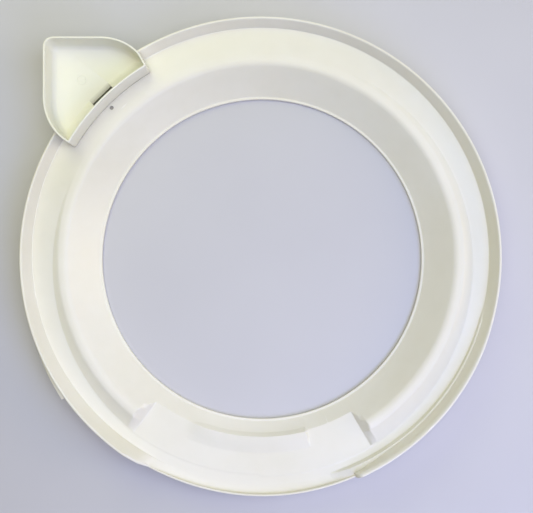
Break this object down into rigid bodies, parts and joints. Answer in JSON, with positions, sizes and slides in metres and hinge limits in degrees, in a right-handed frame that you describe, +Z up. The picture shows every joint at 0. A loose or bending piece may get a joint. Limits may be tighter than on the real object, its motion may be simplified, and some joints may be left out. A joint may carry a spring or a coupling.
{
  "type": "washing machine tub cover",
  "caption": "Round moulded tub cover with a funnel-shaped loading opening, ramped decks, a fill chute, a corner bleach cup and hinged hold-down latches.",
  "frame": {"origin": "on the ring's axis, in the plane of the loading opening's lower edge", "axes": "+Z up along the ring's axis, +X to the side between the two ramped decks' high ends and away from the bleach cup, +Y away from the fill chute; the bleach cup is at 135 degrees from +X towards +Y"},
  "size_m": [0.57, 0.5708, 0.067],
  "materials": {
    "ring_plastic": "semi-gloss off-white moulded polypropylene",
    "cup_plastic": "semi-gloss ivory moulded polypropylene",
    "gasket_rubber": "matt black rubber",
    "latch_plastic": "satin off-white acetal"
  },
  "bodies": {
    "ring": {"cover_ring": "ring_plastic", "tub_gasket": "gasket_rubber"},
    "cup": {"bleach_cup": "cup_plastic"},
    "latch_1": {"latch_1": "latch_plastic"},
    "latch_2": {"latch_2": "latch_plastic"},
    "latch_3": {"latch_3": "latch_plastic"},
    "latch_4": {"latch_4": "latch_plastic"},
    "latch_5": {"latch_5": "latch_plastic"},
    "latch_6": {"latch_6": "latch_plastic"},
    "latch_7": {"latch_7": "latch_plastic"},
    "latch_8": {"latch_8": "latch_plastic"}
  },
  "joints": [
    {"name": "cup_lift", "type": "slide", "parent": "ring", "child": "cup", "axis": [0, 0, 1], "range_m": [0, 0.06]},
    {"name": "latch_1_swing", "type": "hinge", "parent": "ring", "child": "latch_1", "pos_m": [0.27535, 0.05853, 0.021], "axis": [0.2079, -0.9781, 0], "range_deg": [0, 50]},
    {"name": "latch_2_swing", "type": "hinge", "parent": "ring", "child": "latch_2", "pos_m": [0.15332, 0.23609, 0.021], "axis": [0.8387, -0.5446, 0], "range_deg": [0, 50]},
    {"name": "latch_3_swing", "type": "hinge", "parent": "ring", "child": "latch_3", "pos_m": [-0.05853, 0.27535, 0.021], "axis": [0.9781, 0.2079, 0], "range_deg": [0, 50]},
    {"name": "latch_4_swing", "type": "hinge", "parent": "ring", "child": "latch_4", "pos_m": [-0.23609, 0.15332, 0.021], "axis": [0.5446, 0.8387, 0], "range_deg": [0, 50]},
    {"name": "latch_5_swing", "type": "hinge", "parent": "ring", "child": "latch_5", "pos_m": [-0.27535, -0.05853, 0.021], "axis": [-0.2079, 0.9781, 0], "range_deg": [0, 50]},
    {"name": "latch_6_swing", "type": "hinge", "parent": "ring", "child": "latch_6", "pos_m": [-0.15332, -0.23609, 0.021], "axis": [-0.8387, 0.5446, 0], "range_deg": [0, 50]},
    {"name": "latch_7_swing", "type": "hinge", "parent": "ring", "child": "latch_7", "pos_m": [0.05853, -0.27535, 0.021], "axis": [-0.9781, -0.2079, 0], "range_deg": [0, 50]},
    {"name": "latch_8_swing", "type": "hinge", "parent": "ring", "child": "latch_8", "pos_m": [0.23609, -0.15332, 0.021], "axis": [-0.5446, -0.8387, 0], "range_deg": [0, 50]}
  ]
}
